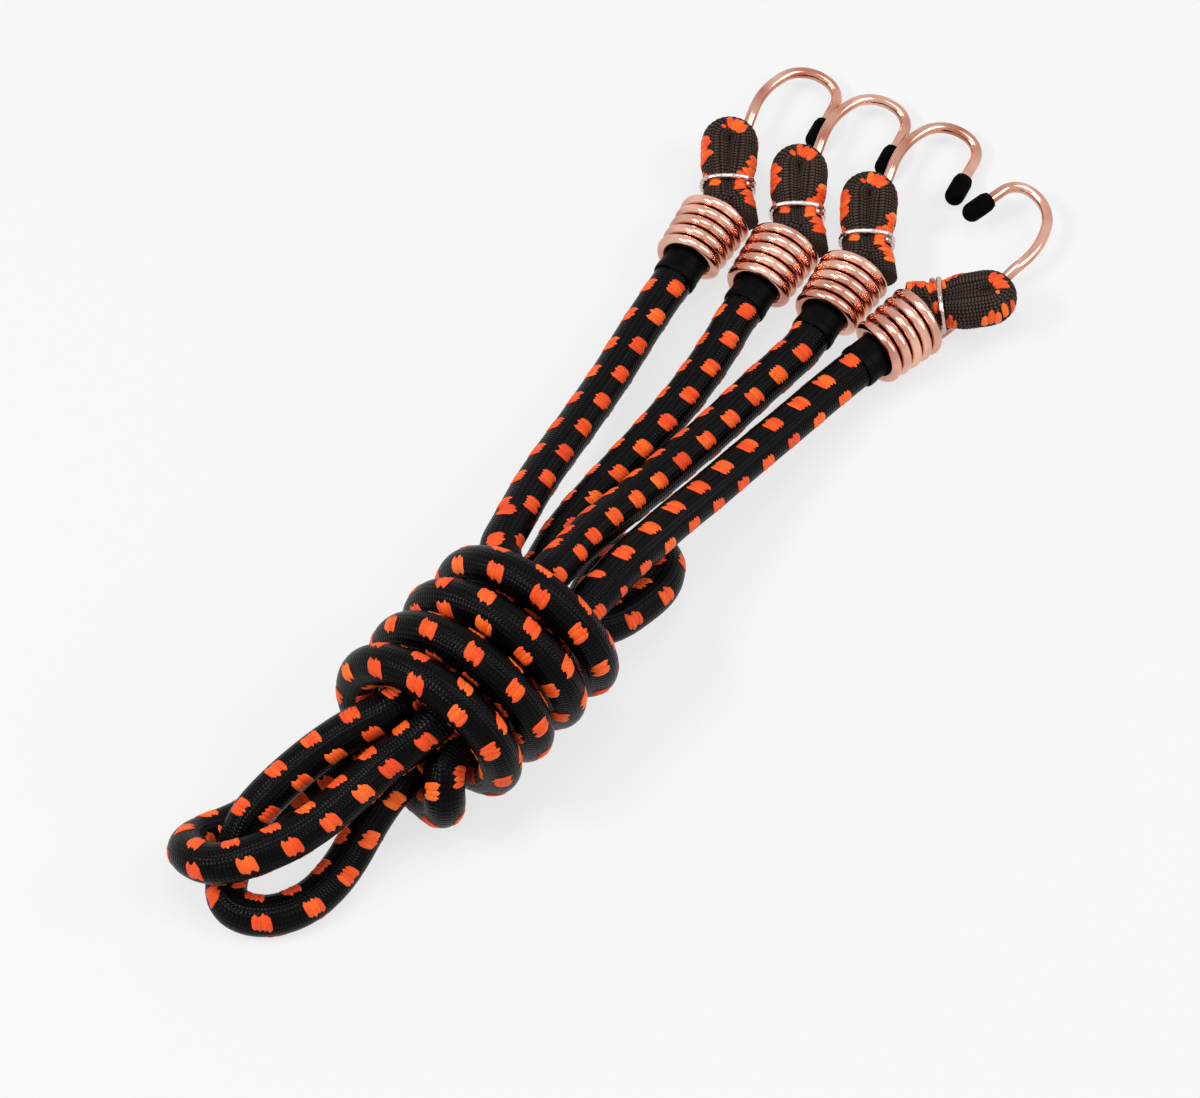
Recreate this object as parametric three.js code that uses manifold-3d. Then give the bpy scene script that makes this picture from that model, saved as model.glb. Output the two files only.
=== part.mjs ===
// Two hooked bungee cords, wound together into one hank, lying on a table.
// Millimetres, +Z up. The origin is on the table under the middle of the wrap,
// and +X runs along the hank towards the hooks.

import * as THREE from 'three';
import Module from 'manifold-3d';

const wasm = await Module();
wasm.setup();

// Driving dimensions

const cordDiameter = 10;          // braided jacket, outside
const boreDiameter = 7.8;         // inside of the jacket
const rubberDiameter = 6.8;       // bundle of rubber threads in the jacket
const strandGap = 0.7;            // between cords that lie side by side in the wrap
const wrapGap = 0.85;             // between the bundle and the turns round it
const restFlat = 1;               // cord pressed flat where it lies on the table
const seatGap = 0.3;              // between pieces that touch

const wrapPitch = 11.8;           // one turn of the wrap to the next
const wrapTurns = 4;
const coreStrands = 5;            // cords that run through the wrap
const coreHalfLength = 22;        // they stay bundled this far each way from the middle

const wireDiameter = 2.8;         // hook wire
const coilTurns = 5;
const coilPitch = 3.25;
const coilMouthFlare = 1.05;      // how much wider the coil is at its mouth
const coilGrip = 0.45;            // coil's narrow end to the cord

const collarLength = 7;           // black sleeve behind the coil
const collarWall = 0.45;
const collarChamfer = 0.3;

const exitBendRadius = 3;         // where the wire leaves the coil
const shankFlatRun = 8.6;         // along the table, under the neck
const shankBendRadius = 12;
const shoulderBendRadius = 22;    // the hook's bends, from the shank to the tip
const crownBendRadius = 9.6;
const throatBendRadius = 5.6;
const hookPoint = 5.6;            // how far the wire reaches into its vinyl tip

const tipDiameter = 5;
const tipLength = 8.4;
const tipWall = 0.8;
const tipLip = 0.35;

const knobWidth = 14.2;           // over both strands of the folded cord end
const knobThickness = 9.6;
const neckWidth = 11.2;           // where the ring pulls them together
const neckThickness = 8.8;
const knobReach = 19.2;           // neck to the top of the fold
const foldGap = 0.5;              // between the two strands
const tailWidth = 8;              // cut end, beside the coil mouth
const tailReach = 3.1;
const tailOffset = 6.4;

const ringWireDiameter = 1.5;     // silver ring at the neck
const ringLap = 2.1;              // its ends lie side by side

// Angles, in degrees

const shankSlope = 14.5;
const shoulderAngle = 34;
const crownAngle = 74;
const knobSlope = 8;
const ringLapAngle = 100;
const bundleTwist = 27;           // the strands twist this much along the wrap
const firstStrandAngle = 18;

// Counts of facets

const hankSides = 8;
const legSides = 10;
const hankStep = 6.4;
const legStep = 9;
const wireSides = 6;
const coilStepsPerTurn = 12;
const wrapStepsPerTurn = 24;
const foldSides = 8;
const foldSteps = 34;
const turnedSides = 18;

// What follows from them

const cordRadius = cordDiameter / 2;
const wireRadius = wireDiameter / 2;
const strandSpacing = cordDiameter + strandGap;
const coreRadius = strandSpacing / (2 * Math.sin(Math.PI / coreStrands));
const wrapRadius = coreRadius + cordDiameter + wrapGap;
const wrapHeight = wrapRadius + cordRadius - restFlat;
const coilStartRadius = cordRadius + coilGrip + wireRadius;
const coilMouthRadius = coilStartRadius + coilMouthFlare;
const coilLength = coilTurns * coilPitch;
const coilAxisHeight = coilMouthRadius + wireRadius;
const collarFront = -coilLength + coilPitch / 2 - wireRadius - seatGap;
const legJoint = collarFront - collarLength / 2;
const ringWireRadius = ringWireDiameter / 2;

// The four ends: the middle of each coil's mouth, the way the coil points, and the side
// that the knob leans to. Seen from above, shankAngle and knobAngle are against the
// coil's axis. shankRun is the shank's rising part, behind the folded cord end, hookTilt
// says how much lower the hook lies on the side of its tip, and tipRun is the straight end
// of the wire, after a last bend of throatAngle.
// neckReach and neckOffset give the neck from the coil's mouth.
// The first three hooks lie nested; the fourth is turned over.
const nested = { side: 1, shankRun: 19.4, shankAngle: 10.5, hookTilt: 13,
  throatAngle: 78, tipRun: 11.6, neckReach: 10.8, neckOffset: 2.2, knobAngle: 27 };
const turnedOver = { side: -1, shankRun: 14.2, shankAngle: 1, hookTilt: -5,
  throatAngle: 70, tipRun: 9.8, neckReach: 7.6, neckOffset: 0.4, knobAngle: 37 };
const ends = [
  { x: 144.9, y: 46.5, heading: 10, ...nested },
  { x: 149.6, y: 27.8, heading: 10, ...nested },
  { x: 154.1, y: 9.4, heading: 9, ...nested },
  { x: 153.8, y: -11.2, heading: -7.5, ...turnedOver },
];

const materials = {
  braid: new THREE.MeshStandardMaterial({ color: 0x1b1a1c, roughness: 0.75, metalness: 0 }),
  rubber: new THREE.MeshStandardMaterial({ color: 0xc9b48a, roughness: 0.8, metalness: 0 }),
  copper: new THREE.MeshStandardMaterial({ color: 0xd98a63, roughness: 0.25, metalness: 1 }),
  silver: new THREE.MeshStandardMaterial({ color: 0xd8d2d0, roughness: 0.3, metalness: 1 }),
  vinyl: new THREE.MeshStandardMaterial({ color: 0x050505, roughness: 0.6, metalness: 0 }),
  sleeve: new THREE.MeshStandardMaterial({ color: 0x0c0c0d, roughness: 0.7, metalness: 0 }),
};

const degrees = THREE.MathUtils.degToRad;
const vector = (x, y, z) => new THREE.Vector3(x, y, z);
const vectors = (rows) => rows.map(([x, y, z]) => vector(x, y, z));

// Routes of the cords outside the wrap

// Each leg, from the wrap to ten millimetres behind its collar.
const legRoutes = [
  vectors([[39, 22, 22.2], [49.5, 25.6, 19.5], [60.5, 28.5, 17],
    [71.5, 31, 14.5], [82, 33.4, 12.5], [93, 35.9, 11], [103, 38.4, 10.3], [112, 40.5, 9.7]]),
  vectors([[37, 11, 15.6], [45.5, 13.2, 15.2], [53.5, 14.4, 14.5], [64, 15.3, 13.5],
    [75, 16, 12.5], [86, 16.7, 11.8], [97, 17.8, 11.1], [107.5, 19.4, 10.4], [117, 21.4, 9.7]]),
  vectors([[36.5, 2.5, 30], [48, 4, 26.2], [60, 4.6, 21.7], [71, 5, 18.3],
    [82, 5.2, 15.9], [93, 5.2, 13.8], [104, 5.5, 12.2], [113, 5.7, 11], [121, 5.6, 10]]),
  vectors([[37, -8.4, 27], [46, -7.8, 26.2], [55.5, -7.4, 23.8], [66, -7, 21],
    [77, -6.9, 18], [88, -6.8, 15.6], [99, -6.9, 13.5], [110, -7.1, 11.5], [121, -7.4, 10]]),
];

// The first leg leaves the bundle before the others.
const firstLegApproach = vectors([[26.5, 14.6, 25.8]]);

// The short cord's fold at the far end of the hank.
const shortFold = vectors([[-34, 0.4, 25.7], [-43, 1.5, 23.8], [-53, 3, 22.2], [-63, 6, 21.2],
  [-70, 9.6, 20.6], [-74.6, 13.2, 19.2], [-76.8, 18.8, 16.4], [-75.4, 25.2, 12], [-71, 28.2, 7.4],
  [-65.5, 27.8, 4.4], [-59.5, 25.2, 4], [-51.5, 22.4, 4], [-44, 18.8, 5.8], [-37.5, 14, 9.8],
  [-32.6, 9.6, 15.2]]);

// The long cord's fold there, which passes over one strand of the short cord's fold
// and under the other.
const longFold = vectors([[-28, 9.6, 28.6], [-35.5, 13.4, 25.4], [-45, 16.5, 21.8],
  [-55, 18.3, 18.6], [-61, 18.9, 15.4], [-65.7, 18, 11.3], [-69.8, 17, 7], [-74, 15.4, 4.2],
  [-76.5, 11.8, 4], [-76.3, 7.6, 4], [-74.2, 3.8, 4], [-70.6, 0.6, 4], [-66, -1.6, 4],
  [-60.5, -2.6, 4], [-54.5, -2.6, 4.5], [-48.5, -2, 6.2], [-41.5, -1.2, 10], [-33.5, -1, 13.8]]);

// Its small loop between the legs and the wrap, and the way under the wrap's end.
const sideLoop = vectors([[28.5, -6.9, 16.4], [35.5, -11, 14], [45, -12.4, 12], [52.5, -12.2, 10.2],
  [59, -9, 7.8], [62.6, -3.8, 5.4], [61, 1, 4.2], [55, 3, 4], [48.5, 3.2, 4],
  [41, 1.2, 4], [34.5, -3, 4], [28.5, -8, 4.4]]);

// Where the wrap's last turn goes under the bundle and becomes one of its strands.
const wrapEnd = vectors([[-24.2, -1.5, 4], [-25.8, -8.2, 5.8], [-27.2, -12.8, 11.4],
  [-26.8, -12.4, 19]]);

// Cord building

// A closed tube along points: rings[i] = [half width, half thickness] there.
// across gives the direction of the width, and it turns with the path.
function sweep(points, rings, sides, across, bore = 0) {
  const count = points.length;
  const tangents = points.map((point, i) => {
    const before = points[Math.max(i - 1, 0)];
    const after = points[Math.min(i + 1, count - 1)];
    return after.clone().sub(before).normalize();
  });
  const side = across.clone().addScaledVector(tangents[0], -across.dot(tangents[0])).normalize();
  const positions = [];
  const turn = new THREE.Quaternion();
  for (let i = 0; i < count; i += 1) {
    if (i > 0) {
      turn.setFromUnitVectors(tangents[i - 1], tangents[i]);
      side.applyQuaternion(turn);
      side.addScaledVector(tangents[i], -side.dot(tangents[i])).normalize();
    }
    const up = tangents[i].clone().cross(side);
    const [wide, thick] = rings[i];
    for (const share of bore > 0 ? [1, bore / wide] : [1]) {
      for (let k = 0; k < sides; k += 1) {
        const angle = ((k + 0.5) / sides) * 2 * Math.PI;
        positions.push(points[i].clone()
          .addScaledVector(side, wide * share * Math.cos(angle))
          .addScaledVector(up, thick * share * Math.sin(angle)));
      }
    }
  }
  const ringSize = bore > 0 ? 2 * sides : sides;
  const index = [];
  const quad = (a, b, c, d) => index.push(a, b, c, a, c, d);
  for (let i = 0; i + 1 < count; i += 1) {
    for (let k = 0; k < sides; k += 1) {
      const a = i * ringSize + k;
      const b = i * ringSize + (k + 1) % sides;
      quad(a, b, b + ringSize, a + ringSize);
      if (bore > 0) quad(b + sides, a + sides, a + sides + ringSize, b + sides + ringSize);
    }
  }
  const last = (count - 1) * ringSize;
  if (bore > 0) {
    for (let k = 0; k < sides; k += 1) {
      const next = (k + 1) % sides;
      quad(next, k, k + sides, next + sides);
      quad(last + k, last + next, last + next + sides, last + k + sides);
    }
  } else {
    for (let k = 1; k + 1 < sides; k += 1) {
      index.push(0, k + 1, k);
      index.push(last, last + k, last + k + 1);
    }
  }
  const geometry = new THREE.BufferGeometry();
  geometry.setAttribute('position',
    new THREE.Float32BufferAttribute(positions.flatMap((p) => p.toArray()), 3));
  geometry.setIndex(index);
  return geometry;
}

function roundTube(points, radius, sides, across, bore = 0) {
  return sweep(points, points.map(() => [radius, radius]), sides, across, bore);
}

function smooth(points, step) {
  const curve = new THREE.CatmullRomCurve3(points, false, 'centripetal');
  curve.arcLengthDivisions = points.length * wrapStepsPerTurn;
  return curve.getSpacedPoints(Math.max(2, Math.round(curve.getLength() / step)));
}

// Cuts away what reaches below the table, so the piece rests on flats.
function restOnTable(geometry) {
  const solid = new wasm.Manifold(new wasm.Mesh({
    numProp: 3,
    vertProperties: geometry.getAttribute('position').array,
    triVerts: new Uint32Array(geometry.getIndex().array),
  }));
  const mesh = solid.trimByPlane([0, 0, 1], 0).getMesh();
  const cut = new THREE.BufferGeometry();
  cut.setAttribute('position', new THREE.BufferAttribute(mesh.vertProperties, 3));
  cut.setIndex(new THREE.BufferAttribute(mesh.triVerts, 1));
  return cut;
}

// The least gap of a cord to itself, between stretches that aren't next to each other.
function gapToItself(points, diameter) {
  const along = [0];
  for (let i = 1; i < points.length; i += 1) {
    along.push(along[i - 1] + points[i].distanceTo(points[i - 1]));
  }
  let least = Infinity;
  for (let i = 0; i < points.length; i += 1) {
    for (let j = i + 1; j < points.length; j += 1) {
      if (along[j] - along[i] > Math.PI * diameter) {
        const d = points[i].distanceTo(points[j]);
        least = Math.min(least, d);
      }
    }
  }
  return least - diameter;
}

// The wrap and the bundle of strands inside it

function wrapPoint(angle) {
  const alongShare = (angle + 450) / 360;
  return vector(wrapPitch * alongShare,
    wrapRadius * Math.cos(degrees(angle)),
    wrapHeight + wrapRadius * Math.sin(degrees(angle)));
}

function wrapPoints(from, to) {
  const count = Math.round(Math.abs(to - from) / 360 * wrapStepsPerTurn / 2);
  return Array.from({ length: count + 1 }, (_, i) => wrapPoint(from + (to - from) * i / count));
}

// One strand of the bundle, towards the far end or back towards the legs.
function strand(place, outward) {
  const stations = [1, 0.5, 0, -0.5, -1].map((share) => share * coreHalfLength);
  if (!outward) stations.reverse();
  return stations.map((x) => {
    const twist = bundleTwist * (coreHalfLength - x) / (2 * coreHalfLength);
    const angle = degrees(firstStrandAngle + 360 / coreStrands * place + twist);
    return vector(x, coreRadius * Math.cos(angle), wrapHeight + coreRadius * Math.sin(angle));
  });
}

// Where leg and hank meet: the leg's first point, and the way it leaves.
function legRoot(number) {
  const [root, next] = legRoutes[number - 1];
  return { root, way: next.clone().sub(root).normalize() };
}

// The hank's end runs straight for one diameter, square to the leg that it meets.
function hankEnd(number) {
  const { root, way } = legRoot(number);
  return [seatGap, cordRadius, cordDiameter].map((back) => root.clone().addScaledVector(way, -back));
}

const longRoute = [
  ...hankEnd(1),
  ...firstLegApproach,
  ...strand(0, true),
  ...longFold,
  ...strand(3, false),
  ...sideLoop,
  ...wrapPoints(235, 235 - 360 * wrapTurns + 70),
  ...wrapEnd,
  ...strand(2, false),
  ...hankEnd(4).reverse(),
];

const shortRoute = [
  ...hankEnd(3),
  ...strand(1, true),
  ...shortFold,
  ...strand(4, false),
  ...hankEnd(2).reverse(),
];

// Legs

function endFrame(end) {
  const heading = degrees(end.heading);
  const way = vector(Math.cos(heading), Math.sin(heading), 0);
  const mouth = vector(end.x, end.y, coilAxisHeight);
  return { way, mouth, along: (distance) => mouth.clone().addScaledVector(way, distance) };
}

// A leg's first and last steps are square to the hank and to the folded cord end.
function legPoints(number) {
  const { way: endWay, along } = endFrame(ends[number - 1]);
  const { root, way } = legRoot(number);
  const stop = legJoint - seatGap / 2;
  const route = [root, root.clone().addScaledVector(way, cordRadius),
    ...legRoutes[number - 1].slice(1),
    along(stop - cordRadius), along(stop - cordRadius / 2), along(stop)];
  const points = smooth(route, legStep);
  const last = points.length - 1;
  const step = points[last].distanceTo(points[last - 1]);
  points[1].copy(root).addScaledVector(way, step);
  points[last - 1].copy(points[last]).addScaledVector(endWay, -step);
  return points;
}

// Hooks

// Wire forming: a point and a heading that run straight or bend.
function wireFormer(start, forward, up) {
  const points = [start.clone()];
  const at = start.clone();
  const run = (length, pieces = 1) => {
    for (let i = 0; i < pieces; i += 1) {
      at.addScaledVector(forward, length / pieces);
      points.push(at.clone());
    }
  };
  const bend = (radius, angle, axis, stepAngle = 16) => {
    const steps = Math.max(2, Math.round(Math.abs(angle) / stepAngle));
    const turn = new THREE.Quaternion().setFromAxisAngle(axis, degrees(angle / steps));
    const half = new THREE.Quaternion().setFromAxisAngle(axis, degrees(angle / steps / 2));
    const chord = 2 * radius * Math.sin(degrees(Math.abs(angle) / steps / 2));
    for (let i = 0; i < steps; i += 1) {
      at.addScaledVector(forward.clone().applyQuaternion(half), chord);
      forward.applyQuaternion(turn);
      up.applyQuaternion(turn);
      points.push(at.clone());
    }
  };
  const roll = (angle) => up.applyAxisAngle(forward, degrees(angle));
  return { points, at, forward, up, run, bend, roll };
}

// In the end's own frame: x along the coil, z up, and the hook opens to -y * side.
function hookWire({ side, shankRun, shankAngle, hookTilt, throatAngle, tipRun }) {
  const turns = coilTurns * coilStepsPerTurn;
  const coil = [];
  for (let i = 0; i <= turns; i += 1) {
    const share = i / turns;
    const angle = side * (share * coilTurns * 2 * Math.PI - Math.PI / 2) - (side < 0 ? Math.PI : 0);
    const radius = coilStartRadius + coilMouthFlare * share;
    const x = -coilLength + coilPitch / 2 + coilLength * share;
    coil.push(vector(x, radius * Math.cos(angle), radius * Math.sin(angle)));
  }
  const start = coil.pop();
  const former = wireFormer(start, vector(0, side, 0), vector(0, 0, 1));
  former.bend(exitBendRadius, -side * (90 - shankAngle), vector(0, 0, 1));
  former.run(shankFlatRun);
  const level = former.forward.clone().cross(former.up).normalize();
  former.bend(shankBendRadius, shankSlope, level);
  former.run(shankRun);
  former.bend(shankBendRadius, -shankSlope, level);
  former.roll(side * hookTilt);
  former.bend(shoulderBendRadius, -side * shoulderAngle, former.up.clone());
  former.bend(crownBendRadius, -side * crownAngle, former.up.clone());
  former.bend(throatBendRadius, -side * throatAngle, former.up.clone());
  former.run(tipRun);
  return { points: [...coil, ...former.points], end: former.at, way: former.forward };
}

// A vinyl tip: a round-ended cap with a rolled mouth and a blind hole for the wire.
function hookTip() {
  const outer = tipDiameter / 2;
  const hole = wireRadius + seatGap;
  const shoulder = tipLength - outer;
  const profile = [
    new THREE.Vector2(0, hookPoint + seatGap),
    new THREE.Vector2(hole, hookPoint + seatGap),
    new THREE.Vector2(hole, 0),
    new THREE.Vector2(hole + tipWall - tipLip, 0),
    new THREE.Vector2(outer - tipLip, tipLip),
    new THREE.Vector2(outer, tipLip + tipWall),
    new THREE.Vector2(outer, shoulder),
  ];
  for (let i = 1; i <= 4; i += 1) {
    const angle = i / 4 * Math.PI / 2;
    profile.push(new THREE.Vector2(i === 4 ? 0 : outer * Math.cos(angle),
      shoulder + outer * Math.sin(angle)));
  }
  return new THREE.LatheGeometry(profile, turnedSides);
}

// The sleeve behind the coil, along +x from its rear edge.
function collar() {
  const hole = cordRadius + seatGap;
  const outer = hole + collarWall;
  const profile = [
    new THREE.Vector2(hole, 0),
    new THREE.Vector2(outer - collarChamfer, 0),
    new THREE.Vector2(outer, collarChamfer),
    new THREE.Vector2(outer, collarLength - collarChamfer),
    new THREE.Vector2(outer - collarChamfer, collarLength),
    new THREE.Vector2(hole, collarLength),
    new THREE.Vector2(hole, 0),
  ];
  return new THREE.LatheGeometry(profile, turnedSides).rotateZ(-Math.PI / 2);
}

// Folded cord end: through the coil, up one side of the knob, round and down the
// other side, through the ring again, and out beside the coil's mouth.

function knobFrame({ side, knobAngle, neckReach, neckOffset }) {
  const heading = side * degrees(knobAngle);
  const slope = degrees(knobSlope);
  const way = vector(Math.cos(heading) * Math.cos(slope), Math.sin(heading) * Math.cos(slope),
    Math.sin(slope));
  const across = vector(-Math.sin(heading), Math.cos(heading), 0).multiplyScalar(side);
  const neck = vector(neckReach, side * neckOffset, 0);
  const at = (ahead, sideways) => neck.clone()
    .addScaledVector(way, ahead).addScaledVector(across, sideways);
  return { way, across, neck, at };
}

function cordEnd(end) {
  const { side, neckReach, neckOffset } = end;
  const { at, across } = knobFrame(end);
  const lobe = (knobWidth - foldGap) / 4;
  const lobeOffset = lobe + foldGap / 2;
  const neckLobe = (neckWidth - foldGap) / 4;
  const neckLobeOffset = neckLobe + foldGap / 2;
  const foldStart = knobReach - lobeOffset - lobe;
  const neckHalf = ringLap / 2 + ringWireRadius;
  const stops = [];
  const stop = (point, wide, thick) => stops.push({ point, wide, thick });
  const round = cordRadius;
  stop(vector(legJoint + seatGap / 2, 0, 0), round, round);
  stop(vector(legJoint + cordDiameter, 0, 0), round, round);
  stop(vector(-wireDiameter, 0, 0), round, round);
  stop(vector(neckReach / 3, side * neckOffset * 0.7, 0), round * 0.9, round * 0.95);
  stop(at(-neckHalf, neckLobeOffset), neckLobe, neckThickness / 2);
  stop(at(neckHalf, neckLobeOffset), neckLobe, neckThickness / 2);
  stop(at(foldStart * 0.45, lobeOffset * 0.97), lobe * 0.97, knobThickness / 2);
  stop(at(foldStart * 0.75, lobeOffset), lobe, knobThickness / 2);
  for (let i = 0; i <= 6; i += 1) {
    const angle = i / 6 * Math.PI;
    const squash = 1 - 0.1 * Math.sin(angle);
    stop(at(foldStart + lobeOffset * Math.sin(angle), lobeOffset * Math.cos(angle)),
      lobe, knobThickness / 2 * squash);
  }
  stop(at(foldStart * 0.75, -lobeOffset), lobe, knobThickness / 2);
  stop(at(foldStart * 0.45, -lobeOffset * 0.97), lobe * 0.97, knobThickness / 2);
  stop(at(neckHalf, -neckLobeOffset), neckLobe, neckThickness / 2);
  stop(at(-neckHalf, -neckLobeOffset), neckLobe, neckThickness / 2);
  const tail = vector(tailReach, -side * tailOffset, 0);
  stop(at(0, -neckLobeOffset).lerp(tail, 0.55), tailWidth / 2 * 0.92, tailWidth / 2);
  stop(tail, tailWidth / 2, tailWidth / 2);

  // Even steps along the smooth path, with the section drawn between the stops.
  const curve = new THREE.CatmullRomCurve3(stops.map((s) => s.point), false, 'centripetal');
  const points = [];
  const rings = [];
  for (let i = 0; i <= foldSteps; i += 1) {
    const t = curve.getUtoTmapping(i / foldSteps);
    const place = t * (stops.length - 1);
    const before = stops[Math.min(Math.floor(place), stops.length - 2)];
    const after = stops[Math.min(Math.floor(place), stops.length - 2) + 1];
    const part = place - Math.min(Math.floor(place), stops.length - 2);
    points.push(curve.getPoint(t));
    rings.push([THREE.MathUtils.lerp(before.wide, after.wide, part),
      THREE.MathUtils.lerp(before.thick, after.thick, part)]);
  }
  return sweep(points, rings, foldSides, across);
}

// A ring of soft wire round the neck, its ends lapped side by side.
function tieRing(end) {
  const { way, across, neck } = knobFrame(end);
  const up = way.clone().cross(across).multiplyScalar(end.side);
  const wide = neckWidth / 2 + seatGap + ringWireRadius;
  const thick = neckThickness / 2 + seatGap + ringWireRadius;
  const steps = 30;
  const points = [];
  for (let i = 0; i <= steps; i += 1) {
    const turn = -180 - ringLapAngle / 2 + (360 + ringLapAngle) * i / steps;
    const c = Math.cos(degrees(turn));
    const s = Math.sin(degrees(turn));
    const bulge = (Math.abs(c) ** 2.6 + Math.abs(s) ** 2.6) ** (-1 / 2.6);
    const shift = ringLap * (i / steps - 0.5);
    points.push(neck.clone().addScaledVector(across, wide * bulge * c)
      .addScaledVector(up, thick * bulge * s).addScaledVector(way, shift));
  }
  return roundTube(points, ringWireRadius, wireSides, way);
}

// Assembly

const bungee = new THREE.Group();

function add(parent, name, geometry, material) {
  const mesh = new THREE.Mesh(geometry, material);
  mesh.name = name;
  parent.add(mesh);
  return mesh;
}

const upward = vector(0, 0, 1);
const longPoints = smooth(longRoute, hankStep);
const shortPoints = smooth(shortRoute, hankStep);
add(bungee, 'long_cord_hank', restOnTable(roundTube(longPoints, cordRadius, hankSides, upward)),
  materials.braid);
add(bungee, 'short_cord_hank', restOnTable(roundTube(shortPoints, cordRadius, hankSides, upward)),
  materials.braid);

ends.forEach((end, i) => {
  const number = i + 1;
  const points = legPoints(number);
  add(bungee, `cord_leg_${number}`,
    roundTube(points, cordRadius, legSides, upward, boreDiameter / 2), materials.braid);
  add(bungee, `rubber_core_${number}`, roundTube(points, rubberDiameter / 2, legSides, upward),
    materials.rubber);

  const unit = new THREE.Group();
  unit.position.set(end.x, end.y, coilAxisHeight);
  unit.rotation.z = degrees(end.heading);
  bungee.add(unit);
  const sleeve = add(unit, `collar_${number}`, collar(), materials.sleeve);
  sleeve.position.x = collarFront - collarLength;
  const wire = hookWire(end);
  add(unit, `hook_${number}`, roundTube(wire.points, wireRadius, wireSides, vector(0, 0, 1)),
    materials.copper);
  const tip = add(unit, `hook_tip_${number}`, hookTip(), materials.vinyl);
  tip.quaternion.setFromUnitVectors(vector(0, 1, 0), wire.way);
  tip.position.copy(wire.end).addScaledVector(wire.way, -hookPoint);
  add(unit, `cord_end_${number}`, cordEnd(end), materials.braid);
  add(unit, `tie_ring_${number}`, tieRing(end), materials.silver);
});

console.log('least gap of the long cord to itself', gapToItself(longPoints, cordDiameter).toFixed(2));
console.log('least gap of the short cord to itself', gapToItself(shortPoints, cordDiameter).toFixed(2));
console.log('least gap of a hook wire to itself',
  gapToItself(hookWire(nested).points, wireDiameter).toFixed(2));

export default bungee;
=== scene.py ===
# Two hooked bungee cords wound into one hank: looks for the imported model.
# The object's lengths are in millimetres until a mesh is made. The camera, the lamps,
# the floor and the heights of bumps are in metres.

from math import atan2, cos, hypot, pi, radians, sin, sqrt

import bpy
import numpy as np
from mathutils import Matrix, Vector
from numpy.linalg import norm


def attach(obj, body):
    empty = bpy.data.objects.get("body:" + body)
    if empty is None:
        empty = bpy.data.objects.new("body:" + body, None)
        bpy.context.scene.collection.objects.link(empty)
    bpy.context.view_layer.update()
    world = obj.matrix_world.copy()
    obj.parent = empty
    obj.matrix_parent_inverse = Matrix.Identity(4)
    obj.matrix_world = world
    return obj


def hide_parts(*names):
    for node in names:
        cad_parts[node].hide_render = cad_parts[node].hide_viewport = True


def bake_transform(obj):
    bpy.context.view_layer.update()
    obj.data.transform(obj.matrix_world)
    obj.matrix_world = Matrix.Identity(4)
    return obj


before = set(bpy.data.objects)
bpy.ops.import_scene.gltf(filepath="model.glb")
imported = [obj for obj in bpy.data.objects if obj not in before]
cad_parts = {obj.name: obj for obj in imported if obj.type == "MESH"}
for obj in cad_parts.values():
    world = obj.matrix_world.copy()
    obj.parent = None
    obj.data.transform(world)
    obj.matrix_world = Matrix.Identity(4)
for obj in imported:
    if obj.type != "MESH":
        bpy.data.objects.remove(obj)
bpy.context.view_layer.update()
mm = 0.001
rng = np.random.default_rng(11)
print("frame loaded:", len(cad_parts), "nodes")

# Camera and light

view = {
    "from": (-0.5926, -0.5352, 1.3569),
    "at": (0.0569, 0.0099, 0.0),
    "lens": 196.8,
    "sensorWidth": 36.0,
    "farthest": 20.0,
}
studio = {
    "paper": (0.939, 0.939, 0.939, 1.0),
    "paperRoughness": 0.9,
    "ambient": 0.55,
    "floorSize": 6.0,
    "shadowShare": 0.15,
    "glow": 0.895,
    "lampsAim": (0.05, 0.0, 0.0),
    "lamps": [
        # name, place, size across and along, watts
        ("windowLight", (-0.9, 0.7, 1.3), 0.7, 0.25, 20.0),
        ("sideLight", (0.7, -0.9, 1.0), 0.5, 0.9, 11.0),
        ("topLight", (0.1, 0.1, 1.7), 0.9, 0.9, 10.0),
    ],
}


def linked(name, data):
    thing = bpy.data.objects.new(name, data)
    bpy.context.collection.objects.link(thing)
    return thing


def aimed(name, data, place, target):
    thing = linked(name, data)
    thing.location = place
    thing.rotation_euler = (Vector(target) - Vector(place)).to_track_quat("-Z", "Y").to_euler()
    return thing


def addCamera():
    data = bpy.data.cameras.new("camera")
    data.lens = view["lens"]
    data.sensor_width = view["sensorWidth"]
    data.clip_end = view["farthest"]
    bpy.context.scene.camera = aimed("camera", data, view["from"], view["at"])


def addLamp(name, place, width, length, power):
    light = bpy.data.lights.new(name, "AREA")
    light.shape = "RECTANGLE"
    light.size, light.size_y = width, length
    light.energy = power
    aimed(name, light, place, studio["lampsAim"])


bpy.context.scene.view_settings.view_transform = "Standard"
addCamera()
for lamp in studio["lamps"]:
    addLamp(*lamp)


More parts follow.
